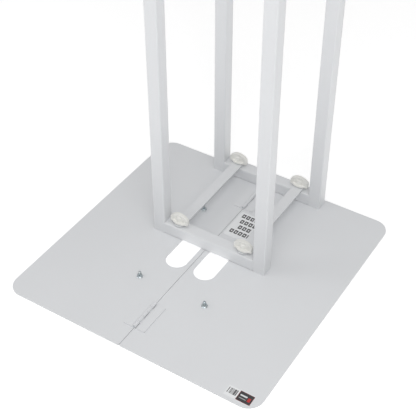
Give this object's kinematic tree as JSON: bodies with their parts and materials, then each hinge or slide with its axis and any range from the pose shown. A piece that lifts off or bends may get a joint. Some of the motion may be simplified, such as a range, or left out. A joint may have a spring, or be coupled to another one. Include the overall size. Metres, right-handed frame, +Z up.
{
  "type": "tower stand",
  "caption": "White four-post square-tube tower stand on a folding steel base plate with hand slots, clamped by thumb knobs; a bag laid between the posts weighs it down.",
  "frame": {"origin": "centre of the base plate's underside, where it stands on the floor", "axes": "+X to the right along the front edge, +Y to the back edge where the tower stands, +Z up the posts"},
  "size_m": [0.61, 0.616, 2],
  "materials": {
    "white_powder_coat": "semi-gloss white powder coat over steel",
    "zinc_steel": "bright zinc-plated steel",
    "knob_plastic": "moulded cream-white plastic",
    "plug_plastic": "moulded light grey plastic",
    "note_label": "printed gloss sticker",
    "maker_label": "printed gloss sticker"
  },
  "bodies": {
    "right_plate": {"right_base_plate": "white_powder_coat", "front_hinge_right_leaf": "white_powder_coat", "rear_hinge_right_leaf": "white_powder_coat", "right_spare_studs": "zinc_steel", "right_flange_nuts": "zinc_steel", "right_threaded_bosses": "zinc_steel", "ballast_label": "note_label", "maker_label": "maker_label"},
    "left_plate": {"left_base_plate": "white_powder_coat", "front_hinge_left_leaf": "white_powder_coat", "front_hinge_pin": "zinc_steel", "rear_hinge_left_leaf": "white_powder_coat", "rear_hinge_pin": "zinc_steel", "left_spare_studs": "zinc_steel", "left_flange_nuts": "zinc_steel", "left_threaded_bosses": "zinc_steel"},
    "tower": {"front_left_post": "white_powder_coat", "front_right_post": "white_powder_coat", "rear_left_post": "white_powder_coat", "rear_right_post": "white_powder_coat", "front_bottom_rail": "white_powder_coat", "rear_bottom_rail": "white_powder_coat", "front_middle_rail": "white_powder_coat", "rear_middle_rail": "white_powder_coat", "front_top_rail": "white_powder_coat", "rear_top_rail": "white_powder_coat", "left_bottom_bar": "white_powder_coat", "right_bottom_bar": "white_powder_coat", "left_top_bar": "white_powder_coat", "right_top_bar": "white_powder_coat", "bottom_washers": "zinc_steel", "top_washers": "zinc_steel", "bottom_post_plugs": "plug_plastic", "top_post_plugs": "plug_plastic", "top_plate": "white_powder_coat", "top_threaded_bosses": "zinc_steel"},
    "bottom_front_left_clamp": {"bottom_front_left_knob": "knob_plastic", "bottom_front_left_screw": "zinc_steel"},
    "bottom_front_right_clamp": {"bottom_front_right_knob": "knob_plastic", "bottom_front_right_screw": "zinc_steel"},
    "bottom_rear_left_clamp": {"bottom_rear_left_knob": "knob_plastic", "bottom_rear_left_screw": "zinc_steel"},
    "bottom_rear_right_clamp": {"bottom_rear_right_knob": "knob_plastic", "bottom_rear_right_screw": "zinc_steel"},
    "top_front_left_clamp": {"top_front_left_knob": "knob_plastic", "top_front_left_screw": "zinc_steel"},
    "top_front_right_clamp": {"top_front_right_knob": "knob_plastic", "top_front_right_screw": "zinc_steel"},
    "top_rear_left_clamp": {"top_rear_left_knob": "knob_plastic", "top_rear_left_screw": "zinc_steel"},
    "top_rear_right_clamp": {"top_rear_right_knob": "knob_plastic", "top_rear_right_screw": "zinc_steel"}
  },
  "joints": [
    {"name": "tower_lift", "type": "slide", "parent": "right_plate", "child": "tower", "axis": [0, 0, 1], "range_m": [0, 0.9]},
    {"name": "base_fold", "type": "hinge", "parent": "right_plate", "child": "left_plate", "pos_m": [-0.0095, 0, 0.0073], "axis": [0, 1, 0], "range_deg": [0, 172]},
    {"name": "bottom_front_left_turn", "type": "hinge", "parent": "tower", "child": "bottom_front_left_clamp", "pos_m": [-0.0845, 0.029, 0.05], "axis": [0, 0, 1], "continuous": true},
    {"name": "bottom_front_right_turn", "type": "hinge", "parent": "tower", "child": "bottom_front_right_clamp", "pos_m": [0.0795, 0.029, 0.05], "axis": [0, 0, 1], "continuous": true},
    {"name": "bottom_rear_left_turn", "type": "hinge", "parent": "tower", "child": "bottom_rear_left_clamp", "pos_m": [-0.0845, 0.285, 0.05], "axis": [0, 0, 1], "continuous": true},
    {"name": "bottom_rear_right_turn", "type": "hinge", "parent": "tower", "child": "bottom_rear_right_clamp", "pos_m": [0.0795, 0.285, 0.05], "axis": [0, 0, 1], "continuous": true},
    {"name": "top_front_left_turn", "type": "hinge", "parent": "tower", "child": "top_front_left_clamp", "pos_m": [-0.0845, 0.029, 1.95], "axis": [0, 0, 1], "continuous": true},
    {"name": "top_front_right_turn", "type": "hinge", "parent": "tower", "child": "top_front_right_clamp", "pos_m": [0.0795, 0.029, 1.95], "axis": [0, 0, 1], "continuous": true},
    {"name": "top_rear_left_turn", "type": "hinge", "parent": "tower", "child": "top_rear_left_clamp", "pos_m": [-0.0845, 0.285, 1.95], "axis": [0, 0, 1], "continuous": true},
    {"name": "top_rear_right_turn", "type": "hinge", "parent": "tower", "child": "top_rear_right_clamp", "pos_m": [0.0795, 0.285, 1.95], "axis": [0, 0, 1], "continuous": true}
  ],
  "couplings": [
    {"joint": "base_fold", "follows": "tower_lift", "rad_per_m": 3.3355}
  ]
}
